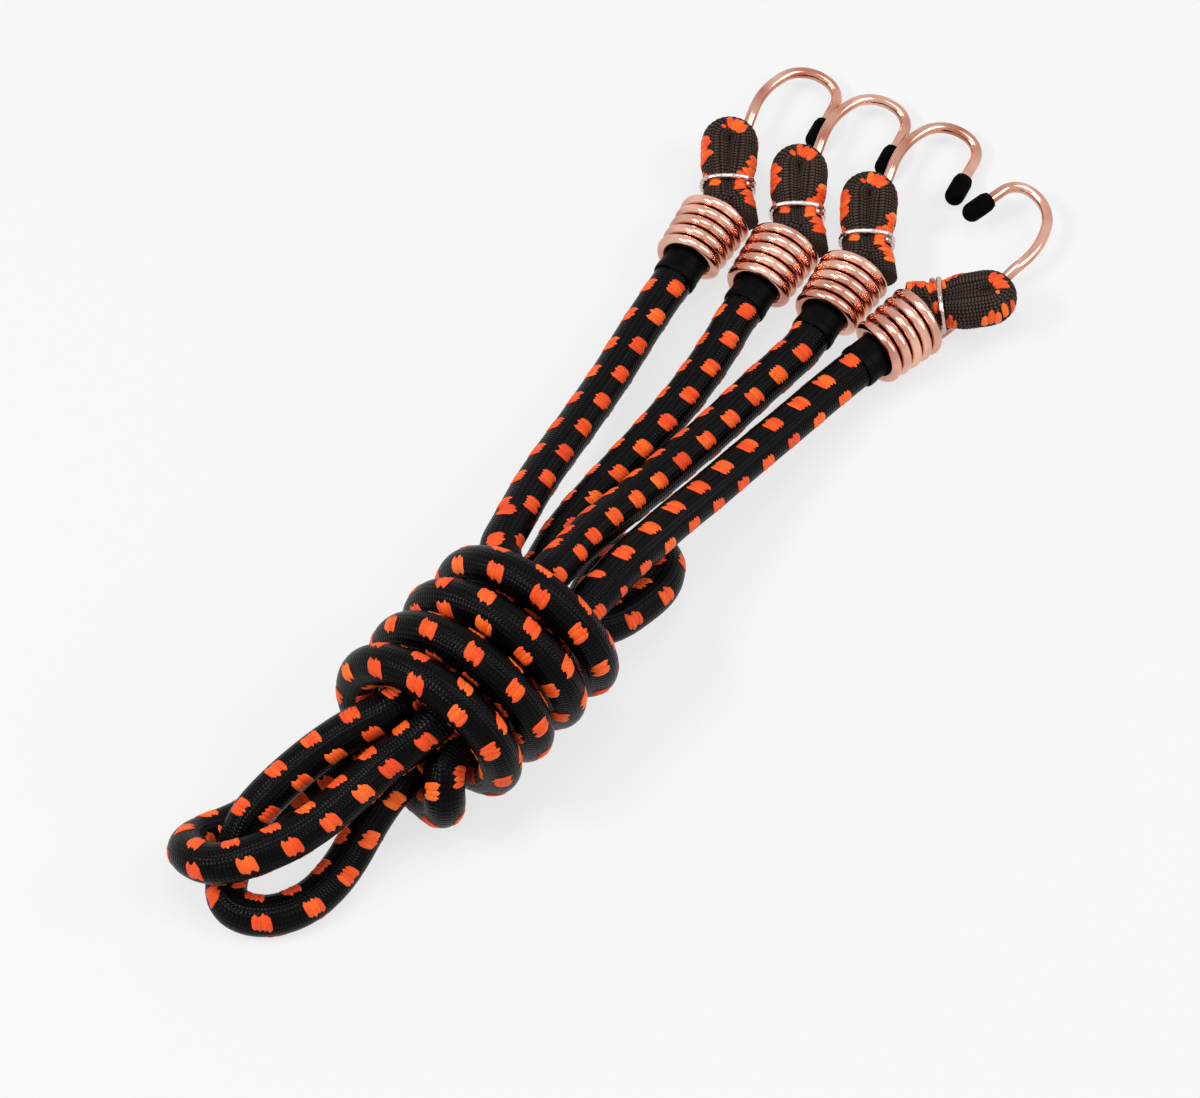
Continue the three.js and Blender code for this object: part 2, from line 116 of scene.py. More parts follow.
# Nodes of a tree are wired with these few helpers.
class Tree:
    def __init__(self, tree):
        self.tree = tree

    def node(self, kind, settings=None, **inputs):
        made = self.tree.nodes.new(kind)
        for key, value in (settings or {}).items():
            setattr(made, key, value)
        for key, value in inputs.items():
            self.feed(made.inputs[key.replace("_", " ")], value)
        return made

    def feed(self, socket, value):
        if isinstance(value, bpy.types.NodeSocket):
            self.tree.links.new(value, socket)
        else:
            socket.default_value = value

    def math(self, operation, *values):
        made = self.node("ShaderNodeMath", {"operation": operation})
        for socket, value in zip(made.inputs, values):
            self.feed(socket, value)
        return made.outputs[0]

    def times(self, first, second, plus=0.0):
        return self.math("MULTIPLY_ADD", first, second, plus)

    def noise(self, place, scale, detail=2.0):
        return self.node("ShaderNodeTexNoise", Vector=place, Scale=scale, Detail=detail).outputs[0]

    def ramp(self, factor, *stops):
        made = self.node("ShaderNodeValToRGB")
        self.feed(made.inputs[0], factor)
        band = made.color_ramp
        while len(band.elements) < len(stops):
            band.elements.new(0.5)
        for element, (place, colour) in zip(band.elements, stops):
            element.position = place
            element.color = (*colour, 1.0)
        return made.outputs[0]

    def dress(self, shader, colour, roughness, bumpStrength, bumpHeight, relief):
        bump = self.node("ShaderNodeBump", Strength=bumpStrength, Distance=bumpHeight, Height=relief)
        self.feed(shader.inputs["Base Color"], colour)
        self.feed(shader.inputs["Roughness"], roughness)
        self.feed(shader.inputs["Normal"], bump.outputs[0])


def newMaterial(name, **constants):
    material = bpy.data.materials.new(name)
    material.use_nodes = True
    t = Tree(material.node_tree)
    shader = material.node_tree.nodes["Principled BSDF"]
    for key, value in constants.items():
        shader.inputs[key.replace("_", " ")].default_value = value
    return material, t, shader


def seenDirectly(t):
    path = t.node("ShaderNodeLightPath")
    seen = t.math("MAXIMUM", path.outputs["Is Camera Ray"], path.outputs["Is Glossy Ray"])
    return t.math("MAXIMUM", seen, path.outputs["Is Transmission Ray"])


def lightWorld():
    # full strength where the background is seen, less where it lights the object
    world = bpy.data.worlds.new("world")
    bpy.context.scene.world = world
    world.use_nodes = True
    t = Tree(world.node_tree)
    background = world.node_tree.nodes["Background"]
    background.inputs["Color"].default_value = studio["paper"]
    ambient = studio["ambient"]
    strength = t.math("MULTIPLY_ADD", seenDirectly(t), 1.0 - ambient, ambient)
    t.feed(background.inputs["Strength"], strength)


def layFloor():
    # seen as glowing paper that keeps a share of the object's shadow
    mesh = bpy.data.meshes.new("floor")
    half = studio["floorSize"] / 2
    corners = [(-half, -half, 0), (half, -half, 0), (half, half, 0), (-half, half, 0)]
    mesh.from_pydata(corners, [], [(0, 1, 2, 3)])
    floor = linked("floor", mesh)
    paper, t, shader = newMaterial("paper", Roughness=studio["paperRoughness"], Base_Color=studio["paper"])
    glow = t.node("ShaderNodeEmission", Color=studio["paper"], Strength=studio["glow"])
    mix = t.node("ShaderNodeMixShader")
    share = t.math("MULTIPLY", seenDirectly(t), 1.0 - studio["shadowShare"])
    for socket, value in zip(mix.inputs, (share, shader.outputs[0], glow.outputs[0])):
        t.feed(socket, value)
    t.feed(paper.node_tree.nodes["Material Output"].inputs["Surface"], mix.outputs[0])
    mesh.materials.append(paper)


lightWorld()
layFloor()
print("camera, lamps and floor placed")

# Materials

uvLength = 10.0  # millimetres along a cord in one unit of its UV map
fuzzShare = 0.25  # of a fine noise, added to a roughness or a relief
braidLook = {
    "yarnPitch": 0.83,  # one rib to the next along the cord
    "columns": 26,  # columns of ribs round the cord
    "slant": 0.35, "columnRoundness": 0.6, "fuzzScale": 2600.0,
    "cloudScale": 160.0, "cloudShare": 0.8, "cloudBase": 0.55,
    "bumpStrength": 0.85, "reliefHeight": 0.00012,
}


def braidMaterial(name, dark, light, roughness, gloss):
    # UV: u runs along the cord, v is once round it
    look = braidLook
    material, t, shader = newMaterial(name, Specular_IOR_Level=gloss)
    uvMap = t.node("ShaderNodeUVMap", {"uv_map": "cordUV"}).outputs[0]
    uv = t.node("ShaderNodeSeparateXYZ", Vector=uvMap)
    column = t.times(uv.outputs[1], float(look["columns"]))
    inColumn = t.math("FRACT", column)
    odd = t.math("MODULO", t.math("FLOOR", column), 2.0)
    lean = t.times(t.times(odd, 2.0, -1.0), t.times(inColumn, look["slant"]))
    along = t.times(uv.outputs[0], uvLength / look["yarnPitch"], lean)
    inRib = t.math("FRACT", t.times(odd, 0.5, along))
    ribRound = t.math("SINE", t.times(inRib, pi))
    columnRound = t.math("POWER", t.math("SINE", t.times(inColumn, pi)), look["columnRoundness"])
    relief = t.times(ribRound, columnRound)
    place = t.node("ShaderNodeTexCoord").outputs["Object"]
    fuzz = t.noise(place, look["fuzzScale"])
    cloud = t.noise(place, look["cloudScale"], 3.0)
    # the colour follows the rib relief: painted shade in the furrows between the ribs and painted highlight
    # on their crests, times a random cloudy tone of the yarn
    tone = t.times(relief, t.times(cloud, look["cloudShare"], look["cloudBase"]))
    t.dress(shader, t.ramp(tone, (0.1, dark), (1.0, light)), t.times(fuzz, fuzzShare, roughness),
            look["bumpStrength"], look["reliefHeight"], t.times(fuzz, fuzzShare, relief))
    return material


yarnLook = {
    "fibreScale": 3200.0,
    "fibreShare": 0.55,  # the rest of the tone is the float's own
    "colours": [(0.2, (0.50, 0.030, 0.006)), (0.5, (0.69, 0.070, 0.011)), (0.85, (0.83, 0.20, 0.018))],
    "roughness": 0.4, "bumpStrength": 0.5, "reliefHeight": 0.00008,
}


def yarnMaterial(name):
    look = yarnLook
    material, t, shader = newMaterial(name, Sheen_Weight=0.04, Sheen_Tint=(1.0, 0.5, 0.2, 1.0),
                                      Specular_IOR_Level=0.14)
    floatTone = t.node("ShaderNodeAttribute", {"attribute_name": "tone"}).outputs["Fac"]
    fibre = t.noise(t.node("ShaderNodeTexCoord").outputs["Object"], look["fibreScale"])
    mottle = t.times(fibre, look["fibreShare"], t.times(floatTone, 1.0 - look["fibreShare"]))
    t.dress(shader, t.ramp(mottle, *look["colours"]), t.times(fibre, fuzzShare, look["roughness"]),
            look["bumpStrength"], look["reliefHeight"], fibre)
    return material


platingLook = {
    "drawn": (0.25, 1.0, 1.0),  # scratches are stretched along x
    "patchScale": 90.0, "patchStops": (0.3, 0.7),
    "wearShare": 0.10, "bumpStrength": 0.12, "reliefHeight": 0.00002,
}


def platedMaterial(name, deep, bright, roughness, scratchScale):
    look = platingLook
    material, t, shader = newMaterial(name, Metallic=1.0)
    place = t.node("ShaderNodeTexCoord").outputs["Object"]
    drawn = t.node("ShaderNodeMapping", Vector=place, Scale=look["drawn"]).outputs[0]
    scratches = t.noise(drawn, scratchScale, 4.0)
    patches = t.noise(place, look["patchScale"])
    t.dress(shader, t.ramp(patches, *zip(look["patchStops"], (deep, bright))),
            t.times(scratches, look["wearShare"], roughness), look["bumpStrength"],
            look["reliefHeight"], scratches)
    return material


mattLook = {"cloudsPerGrain": 0.25, "cloudStops": (0.3, 0.75), "bumpStrength": 0.35}


def mattMaterial(name, dark, light, roughness, grain, height, gloss):
    look = mattLook
    material, t, shader = newMaterial(name, Specular_IOR_Level=gloss)
    place = t.node("ShaderNodeTexCoord").outputs["Object"]
    cloud = t.noise(place, grain * look["cloudsPerGrain"], 3.0)
    fine = t.noise(place, grain)
    t.dress(shader, t.ramp(cloud, *zip(look["cloudStops"], (dark, light))),
            t.times(fine, fuzzShare, roughness), look["bumpStrength"], height, fine)
    return material


# in each braid the dark colour is the painted shade in the furrows and the light colour the painted highlight
# on the rib crests
blackBraid = braidMaterial("blackBraid", (0.0003, 0.0003, 0.0004), (0.0026, 0.0026, 0.0030), 0.13, 0.05)
brownBraid = braidMaterial("brownBlackBraid", (0.0008, 0.0005, 0.0004), (0.062, 0.041, 0.032), 0.4, 0.035)
orangeYarn = yarnMaterial("orangeYarn")
copperPlate = platedMaterial("copperPlate", (0.45, 0.165, 0.105), (0.88, 0.53, 0.41), 0.06, 900.0)
silverWire = platedMaterial("silverWire", (0.50, 0.37, 0.34), (0.80, 0.68, 0.65), 0.12, 1200.0)
dippedVinyl = mattMaterial("dippedVinyl", (0.0004, 0.0004, 0.0004), (0.0012, 0.0012, 0.0012),
                           0.5, 1400.0, 0.00003, 0.02)
shrinkSleeve = mattMaterial("shrinkSleeve", (0.0006, 0.0006, 0.0007), (0.002, 0.002, 0.0022),
                            0.32, 1000.0, 0.00004, 0.035)
rubberThreads = mattMaterial("rubberThreads", (0.38, 0.29, 0.15), (0.55, 0.45, 0.27),
                             0.6, 700.0, 0.00008, 0.3)
print("materials made")

# Geometry node trees


def newTree(name, **inputs):
    tree = bpy.data.node_groups.new(name, "GeometryNodeTree")
    for label, kind in {"Geometry": "Geometry", **inputs}.items():
        tree.interface.new_socket(label, in_out="INPUT", socket_type="NodeSocket" + kind)
    tree.interface.new_socket("Geometry", in_out="OUTPUT", socket_type="NodeSocketGeometry")
    t = Tree(tree)
    return t, t.node("NodeGroupInput").outputs, t.node("NodeGroupOutput")


def attribute(t, name, kind):
    return t.node("GeometryNodeInputNamedAttribute", {"data_type": kind}, Name=name).outputs[0]


def sweepAlong(t, curve, profile, thickness):
    made = t.node("GeometryNodeCurveToMesh")
    if "Scale" in made.inputs:
        t.feed(made.inputs["Scale"], thickness)
    else:
        curve = t.node("GeometryNodeSetCurveRadius", Curve=curve, Radius=thickness).outputs[0]
    t.feed(made.inputs["Curve"], curve)
    t.feed(made.inputs["Profile Curve"], profile)
    t.feed(made.inputs["Fill Caps"], True)
    return made.outputs[0]


def finishTree(t, geometry, material, output):
    real = t.node("GeometryNodeRealizeInstances", Geometry=geometry).outputs[0]
    smooth = t.node("GeometryNodeSetShadeSmooth", Geometry=real).outputs[0]
    done = t.node("GeometryNodeSetMaterial", Geometry=smooth, Material=material).outputs[0]
    t.feed(output.inputs[0], done)
    return t.tree


def bentWireTree():
    # a wire bent along a line of points; the points' thickness attribute swells or thins it
    t, given, output = newTree("bentWire", wireRadius="Float", sides="Int", material="Material")
    line = t.node("GeometryNodeMeshToCurve", Mesh=given["Geometry"]).outputs[0]
    circle = t.node("GeometryNodeCurvePrimitiveCircle", Resolution=given["sides"],
                    Radius=given["wireRadius"]).outputs[0]
    wire = sweepAlong(t, line, circle, attribute(t, "thickness", "FLOAT"))
    return finishTree(t, wire, given["material"], output)


floatShape = {"stations": 7, "sides": 6, "taperPower": 4.5, "taper": 0.88}


def yarnFloatTree():
    # orange yarn floats laid across the cord: one lens-shaped strip on each point
    t, given, output = newTree("yarnFloats", cordRadius="Float", arc="Float", width="Float",
                               height="Float", material="Material")
    arc = t.node("GeometryNodeCurveArc", {"mode": "RADIUS"}, Resolution=floatShape["stations"],
                 Radius=given["cordRadius"], Start_Angle=t.times(given["arc"], -0.5),
                 Sweep_Angle=given["arc"]).outputs[0]
    factor = t.node("GeometryNodeSplineParameter").outputs["Factor"]
    centred = t.math("ABSOLUTE", t.times(factor, 2.0, -1.0))
    taper = t.times(t.math("POWER", centred, floatShape["taperPower"]), -floatShape["taper"], 1.0)
    circle = t.node("GeometryNodeCurvePrimitiveCircle", Resolution=floatShape["sides"], Radius=1.0).outputs[0]
    size = t.node("ShaderNodeCombineXYZ", X=given["height"], Y=t.times(given["width"], 0.5), Z=1.0).outputs[0]
    flat = t.node("GeometryNodeTransform", Geometry=circle, Scale=size).outputs[0]
    laid = t.node("GeometryNodeInstanceOnPoints", Points=given["Geometry"],
                  Instance=sweepAlong(t, arc, flat, taper), Rotation=attribute(t, "turn", "FLOAT_VECTOR"),
                  Scale=attribute(t, "reach", "FLOAT_VECTOR")).outputs[0]
    return finishTree(t, laid, given["material"], output)


bentWire = bentWireTree()
yarnFloats = yarnFloatTree()


def pointMesh(name, points, edges=(), **attributes):
    mesh = bpy.data.meshes.new(name)
    mesh.from_pydata([tuple(p) for p in points], edges, [])
    for key, values in attributes.items():
        values = np.asarray(values, np.float32)
        kind = "FLOAT_VECTOR" if values.ndim == 2 else "FLOAT"
        layer = mesh.attributes.new(key, kind, "POINT")
        layer.data.foreach_set("vector" if values.ndim == 2 else "value", values.ravel())
    return mesh


def baked(name, source, tree, **values):
    piece = linked(name, source)
    modifier = piece.modifiers.new("nodes", "NODES")
    modifier.node_group = tree
    for item in tree.interface.items_tree:
        if item.in_out == "INPUT" and item.name in values:
            modifier[item.identifier] = values[item.name]
    graph = bpy.context.evaluated_depsgraph_get()
    mesh = bpy.data.meshes.new_from_object(piece.evaluated_get(graph), depsgraph=graph)
    piece.modifiers.remove(modifier)
    piece.data = mesh
    return piece


def closedSurface(name, rings, poles, alongUV, material):
    # rings: stations x sides x 3, in metres; poles: the two end points; alongUV: one u for each station
    count, sides = rings.shape[:2]
    points = np.vstack([rings.reshape(-1, 3), np.array(poles).reshape(2, 3)])
    first, last, base = count * sides, count * sides + 1, (count - 1) * sides
    pairs = [(k, (k + 1) % sides) for k in range(sides)]
    faces = [(low + k, low + n, low + sides + n, low + sides + k)
             for low in range(0, base, sides) for k, n in pairs]
    faces += [(first, n, k) for k, n in pairs] + [(last, base + k, base + n) for k, n in pairs]
    mesh = bpy.data.meshes.new(name)
    mesh.from_pydata(points.tolist(), [], faces)
    layer = mesh.uv_layers.new(name="cordUV")
    uv = [(alongUV[i + up], (k + on) / sides) for i in range(count - 1) for k in range(sides)
          for up, on in ((0, 0), (0, 1), (1, 1), (1, 0))]
    uv += [(alongUV[i], (k + on) / sides) for i in (0, -1) for k in range(sides) for on in (0.5, 1, 0)]
    layer.data.foreach_set("uv", np.array(uv, np.float32).ravel())
    mesh.shade_smooth()
    rim = mesh.attributes.new("sharp_edge", "BOOLEAN", "EDGE")
    outer = set(range(sides)) | set(range(base, base + sides))
    flags = [edge.vertices[0] in outer and edge.vertices[1] in outer for edge in mesh.edges]
    rim.data.foreach_set("value", flags)
    mesh.materials.append(material)
    return mesh


def joined(name, *meshes):
    # several meshes as one, each keeping its material
    pieces = [linked(name, mesh) for mesh in meshes]
    with bpy.context.temp_override(active_object=pieces[0], selected_editable_objects=pieces):
        bpy.ops.object.join()
    return pieces[0]


# Lines along the cords


def smoothLine(points, step, passes=0, dots=32):
    # centripetal Catmull-Rom through the points, in even steps, its small kinks eased by the passes
    p = np.array(points, float)
    p = np.vstack([2 * p[0] - p[1], p, 2 * p[-1] - p[-2]])
    dense = []
    for p0, p1, p2, p3 in zip(p, p[1:], p[2:], p[3:]):
        d0, d1, d2 = (sqrt(norm(b - a)) for a, b in ((p0, p1), (p1, p2), (p2, p3)))
        m1 = ((p1 - p0) / d0 - (p2 - p0) / (d0 + d1) + (p2 - p1) / d1) * d1
        m2 = ((p2 - p1) / d1 - (p3 - p1) / (d1 + d2) + (p3 - p2) / d2) * d1
        s = np.linspace(0, 1, dots, endpoint=False)[:, None]
        dense.append(p1 + m1 * s + (3 * (p2 - p1) - 2 * m1 - m2) * s**2 + (2 * (p1 - p2) + m1 + m2) * s**3)
    line = evenly(np.vstack(dense + [p[-2:-1]]), step)
    for _ in range(passes):
        line[1:-1] = (line[:-2] + 2 * line[1:-1] + line[2:]) / 4
    return line


def lengths(points):
    return np.concatenate([[0.0], np.cumsum(norm(np.diff(points, axis=0), axis=1))])


def between(at, along, values):
    return np.column_stack([np.interp(at, along, column) for column in np.transpose(values)])


def evenly(dense, step):
    along = lengths(dense)
    return between(np.linspace(0, along[-1], max(2, round(along[-1] / step)) + 1), along, dense)


def frames(points, facing):
    # tangents, and the sides that turn with the line without twisting
    tangents = np.gradient(points, axis=0)
    tangents /= norm(tangents, axis=1)[:, None]
    side = np.array(facing, float)
    sides = []
    for i, tangent in enumerate(tangents):
        if i:
            before = tangents[i - 1]
            axis = np.cross(before, tangent)
            amount = norm(axis)
            if amount > 1e-9:
                turn = Matrix.Rotation(atan2(amount, before @ tangent), 3, Vector(axis / amount))
                side = np.array(turn @ Vector(side))
        side = side - tangent * (side @ tangent)
        side /= norm(side)
        sides.append(side.copy())
    sides = np.array(sides)
    return tangents, sides, np.cross(tangents, sides)


# The wound cords, on the same routes as the solids

cord = {
    "diameter": 10.0, "strandGap": 0.7, "wrapGap": 0.85, "restFlat": 1.0, "wrapPitch": 11.8,
    "wrapAngles": (235.0, -1135.0),  # degrees, nearly four turns
    "wrapStep": 30.0,
    "strands": 5, "bundleHalfLength": 22.0, "bundleTwist": 27.0, "firstStrandAngle": 18.0,
    "seatGap": 0.3, "step": 1.0, "sides": 32, "easing": 10, "pressSoftness": 0.45,
}
cordRadius = cord["diameter"] / 2
coreRadius = (cord["diameter"] + cord["strandGap"]) / (2 * sin(pi / cord["strands"]))
wrapRadius = coreRadius + cord["diameter"] + cord["wrapGap"]
wrapHeight = wrapRadius + cordRadius - cord["restFlat"]

legRoutes = [
    [(39, 22, 22.2), (49.5, 25.6, 19.5), (60.5, 28.5, 17), (71.5, 31, 14.5), (82, 33.4, 12.5),
     (93, 35.9, 11), (103, 38.4, 10.3), (112, 40.5, 9.7)],
    [(37, 11, 15.6), (45.5, 13.2, 15.2), (53.5, 14.4, 14.5), (64, 15.3, 13.5), (75, 16, 12.5),
     (86, 16.7, 11.8), (97, 17.8, 11.1), (107.5, 19.4, 10.4), (117, 21.4, 9.7)],
    [(36.5, 2.5, 30), (48, 4, 26.2), (60, 4.6, 21.7), (71, 5, 18.3), (82, 5.2, 15.9), (93, 5.2, 13.8),
     (104, 5.5, 12.2), (113, 5.7, 11), (121, 5.6, 10)],
    [(37, -8.4, 27), (46, -7.8, 26.2), (55.5, -7.4, 23.8), (66, -7, 21), (77, -6.9, 18), (88, -6.8, 15.6),
     (99, -6.9, 13.5), (110, -7.1, 11.5), (121, -7.4, 10)],
]
firstLegApproach = [(26.5, 14.6, 25.8)]
shortFold = [(-34, 0.4, 25.7), (-43, 1.5, 23.8), (-53, 3, 22.2), (-63, 6, 21.2), (-70, 9.6, 20.6),
             (-74.6, 13.2, 19.2), (-76.8, 18.8, 16.4), (-75.4, 25.2, 12), (-71, 28.2, 7.4),
             (-65.5, 27.8, 4.4), (-59.5, 25.2, 4), (-51.5, 22.4, 4), (-44, 18.8, 5.8), (-37.5, 14, 9.8),
             (-32.6, 9.6, 15.2)]
longFold = [(-28, 9.6, 28.6), (-35.5, 13.4, 25.4), (-45, 16.5, 21.8), (-55, 18.3, 18.6), (-61, 18.9, 15.4),
            (-65.7, 18, 11.3), (-69.8, 17, 7), (-74, 15.4, 4.2), (-76.5, 11.8, 4), (-76.3, 7.6, 4),
            (-74.2, 3.8, 4), (-70.6, 0.6, 4), (-66, -1.6, 4), (-60.5, -2.6, 4), (-54.5, -2.6, 4.5),
            (-48.5, -2, 6.2), (-41.5, -1.2, 10), (-33.5, -1, 13.8)]
sideLoop = [(28.5, -6.9, 16.4), (35.5, -11, 14), (45, -12.4, 12), (52.5, -12.2, 10.2), (59, -9, 7.8),
            (62.6, -3.8, 5.4), (61, 1, 4.2), (55, 3, 4), (48.5, 3.2, 4), (41, 1.2, 4), (34.5, -3, 4),
            (28.5, -8, 4.4)]
wrapEnd = [(-24.2, -1.5, 4), (-25.8, -8.2, 5.8), (-27.2, -12.8, 11.4), (-26.8, -12.4, 19)]


def wrapPoints():
    first, last = cord["wrapAngles"]
    middle = (first + last) / 2
    angles = np.linspace(first, last, round(abs(last - first) / cord["wrapStep"]) + 1)
    return [(cord["wrapPitch"] * (a - middle) / 360, wrapRadius * cos(radians(a)),
             wrapHeight + wrapRadius * sin(radians(a))) for a in angles]


def strand(place, outward):
    reach = cord["bundleHalfLength"]
    stations = [reach, reach / 2, 0.0, -reach / 2, -reach]
    points = []
    for x in stations if outward else stations[::-1]:
        angle = radians(cord["firstStrandAngle"] + 360 / cord["strands"] * place
                        + cord["bundleTwist"] * (reach - x) / (2 * reach))
        points.append((x, coreRadius * cos(angle), wrapHeight + coreRadius * sin(angle)))
    return points


def legRoot(number):
    root, following = (np.array(p, float) for p in legRoutes[number - 1][:2])
    way = (following - root) / norm(following - root)
    return root, way


def hankEnd(number):
    root, way = legRoot(number)
    return [tuple(root - way * back) for back in (0.0, cordRadius, cord["diameter"])]


longRoute = [*hankEnd(1), *firstLegApproach, *strand(0, True), *longFold, *strand(3, False), *sideLoop,
             *wrapPoints(), *wrapEnd, *strand(2, False), *hankEnd(4)[::-1]]
shortRoute = [*hankEnd(3), *strand(1, True), *shortFold, *strand(4, False), *hankEnd(2)[::-1]]

# Orange flecks: rows round the cord, each row a quarter pitch on from its neighbour

flecks = {
    "rows": 4,
    "floats": 4,  # yarn floats in one fleck
    "arc": 53.0,  # degrees that one float reaches round
    "jitter": 2.0, "slant": 8.0,  # degrees
    "height": 0.2, "overlap": 1.75, "leastSpread": 0.6,
    "reaches": (0.93, 1.05), "tones": (0.25, 0.75), "toneJitter": 0.2,
}


def laidFloat(place, out, tangent, lean, reach, tone):
    # one yarn float: its axes point out, round and along the cord, turned by the lean in degrees
    axes = Matrix(np.column_stack([out, np.cross(tangent, out), tangent]).tolist())
    turn = axes @ Matrix.Rotation(radians(lean), 3, "X")
    return place * mm, tuple(turn.to_euler()), reach, tone


def floatPlaces(floats):
    places, turns, reaches, tones = zip(*floats)
    return pointMesh("floatPlaces", places, turn=turns, reach=reaches, tone=tones)


def fleckPoints(line, facing, pitch, length, phase, roll, stagger):
    # phase is a share of the pitch; roll turns the rows round the cord from the side that faces
    # the given way, and stagger sets neighbouring yarns off, both in degrees
    tangents, sides, ups = frames(line, facing)
    along = lengths(line)
    bends = np.gradient(tangents, axis=0) / np.gradient(along)[:, None]
    spacing = length / flecks["floats"]
    tonePlay = flecks["toneJitter"]
    floats = []
    for row in range(flecks["rows"]):
        rowAngle = radians(roll + row * 360 / flecks["rows"])
        at = pitch * ((phase + row / flecks["rows"]) % 1.0)
        while at < along[-1]:
            fleckTone = rng.uniform(*flecks["tones"])
            middle = int(np.searchsorted(along, at))
            outward = sides[middle] * cos(rowAngle) + ups[middle] * sin(rowAngle)
            # the surface is longer outside a bend
            spread = max(flecks["leastSpread"], 1.0 - cordRadius * (bends[middle] @ outward))
            for j in range(flecks["floats"]):
                s = at + spacing / spread * (j - (flecks["floats"] - 1) / 2)
                if not 0 < s < along[-1]:
                    continue
                i = min(int(round(s / along[-1] * (len(line) - 1))), len(line) - 1)
                place = between(s, along, line)[0]
                swing = flecks["jitter"] * rng.uniform(-1, 1) + stagger * (0.5 if j % 2 else -0.5)
                angle = rowAngle + radians(swing)
                out = sides[i] * cos(angle) + ups[i] * sin(angle)
                reach = (1.0, rng.uniform(*flecks["reaches"]), spacing * flecks["overlap"])
                tone = fleckTone + rng.uniform(-tonePlay, tonePlay)
                floats.append(laidFloat(place, out, tangents[i], flecks["slant"], reach, tone))
            at += pitch
    return floatPlaces(floats)


def withFloats(name, jacket, places):
    # a jacket's mesh and the yarn floats at their places, as one piece
    floats = baked(name + "Floats", places, yarnFloats, cordRadius=cordRadius * mm,
                   arc=radians(flecks["arc"]), width=mm, height=flecks["height"] * mm, material=orangeYarn)
    floatMesh = floats.data
    bpy.data.objects.remove(floats)
    return joined(name, jacket, floatMesh)


def pressOnTable(mesh):
    # what lies below the table's top is eased flat just above it
    co = np.zeros(len(mesh.vertices) * 3, np.float32)
    mesh.vertices.foreach_get("co", co)
    softness = cord["pressSoftness"] * mm
    co[2::3] = np.where(co[2::3] < softness, softness * np.exp((co[2::3] - softness) / softness), co[2::3])
    mesh.vertices.foreach_set("co", co)
    mesh.update()


def tube(name, line, facing, radii, material):
    # radii: one for each side of the tube's section
    sides, ups = frames(line, facing)[1:]
    angles = np.arange(len(radii)) * 2 * pi / len(radii)
    cosines, sines = np.cos(angles)[None, :, None], np.sin(angles)[None, :, None]
    outward = sides[:, None, :] * cosines + ups[:, None, :] * sines
    rings = (line[:, None, :] + np.array(radii)[None, :, None] * outward) * mm
    return closedSurface(name, rings, (line[0] * mm, line[-1] * mm), lengths(line) / uvLength, material)


def braidedCord(name, line, facing, pitch, length, phase, roll, stagger):
    jacket = tube(name, line, facing, [cordRadius] * cord["sides"], blackBraid)
    piece = withFloats(name, jacket, fleckPoints(line, facing, pitch, length, phase, roll, stagger))
    pressOnTable(piece.data)
    return piece


upwards = (0, 0, 1)
hankStagger = 5.0
hanks = [
    # name, route, fleck pitch and length, phase, roll, node
    ("longCord", longRoute, 10.8, 4.1, 0.1, 20.0, "long_cord_hank"),
    ("shortCord", shortRoute, 10.2, 4.0, 0.3, 45.0, "short_cord_hank"),
]
for name, route, pitch, length, phase, roll, node in hanks:
    line = smoothLine(route, cord["step"], cord["easing"])
    piece = braidedCord(name, line, upwards, pitch, length, phase, roll, hankStagger)
    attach(piece, "hank")
    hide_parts(node)
    float(lengths(line)[-1]) * mm
    print(name, "laid:", round(float(lengths(line)[-1])), "mm")

# The four ends: where each stands, and how it lies

nested = {"side": 1, "shankRun": 19.4, "shankAngle": 10.5, "hookTilt": 13.0, "throatAngle": 78.0,
          "tipRun": 11.6, "neckReach": 10.8, "neckOffset": 2.2, "knobAngle": 27.0,
          "cheekFleck": (-9.4, 34.0, 5, 1.15, 1.5)}
turnedOver = {"side": -1, "shankRun": 14.2, "shankAngle": 1.0, "hookTilt": -5.0, "throatAngle": 70.0,
              "tipRun": 9.8, "neckReach": 7.6, "neckOffset": 0.4, "knobAngle": 37.0,
              "cheekFleck": (-5.0, 10.0, 5, 1.0, 1.3)}
# legFlecks: pitch, phase and roll; cheekFleck: one more row of the knob's flecks
ends = [
    {"x": 144.9, "y": 46.5, "heading": 10.0, "legFlecks": (10.2, 0.35, 27.0), **nested},
    {"x": 149.6, "y": 27.8, "heading": 10.0, "legFlecks": (9.9, 0.15, 16.0), **nested},
    {"x": 154.1, "y": 9.4, "heading": 9.0, "legFlecks": (9.6, 0.6, 14.0), **nested},
    {"x": 153.8, "y": -11.2, "heading": -7.5, "legFlecks": (9.9, 0.75, -26.0), **turnedOver},
]
hook = {
    "wireDiameter": 2.8, "coilTurns": 5, "coilPitch": 3.25, "coilMouthFlare": 1.05, "coilGrip": 0.45,
    "exitBendRadius": 3.0, "shankFlatRun": 8.6, "shankBendRadius": 12.0, "shankSlope": 14.5,
    "shoulderAndCrown": [(22.0, 34.0), (9.6, 74.0)],  # radius and angle of each bend
    "throatBendRadius": 5.6, "hookPoint": 5.6, "sides": 20, "stationsInTurn": 40, "runStep": 1.5,
    "bendStep": 5.0,  # degrees
}
sleeve = {
    "length": 7.0,  # of the solid
    "shown": 4.4,
    # out from the cord's surface and along it: the mouth, a small step, and a tongue under the coil
    "profile": [(0.12, 0.0), (0.5, 0.0), (0.6, 0.5), (0.6, 2.0), (0.44, 2.25), (0.44, 4.2), (0.4, 4.5),
                (0.4, 7.8), (0.12, 7.8), (0.12, 0.0)],
    "cornerRadius": 0.16, "sides": 48,
}
wireRadius = hook["wireDiameter"] / 2
coilStartRadius = cordRadius + hook["coilGrip"] + wireRadius
coilMouthRadius = coilStartRadius + hook["coilMouthFlare"]
coilLength = hook["coilTurns"] * hook["coilPitch"]
coilBack = -coilLength + hook["coilPitch"] / 2
coilAxisHeight = coilMouthRadius + wireRadius
sleeveFront = coilBack - wireRadius - cord["seatGap"]
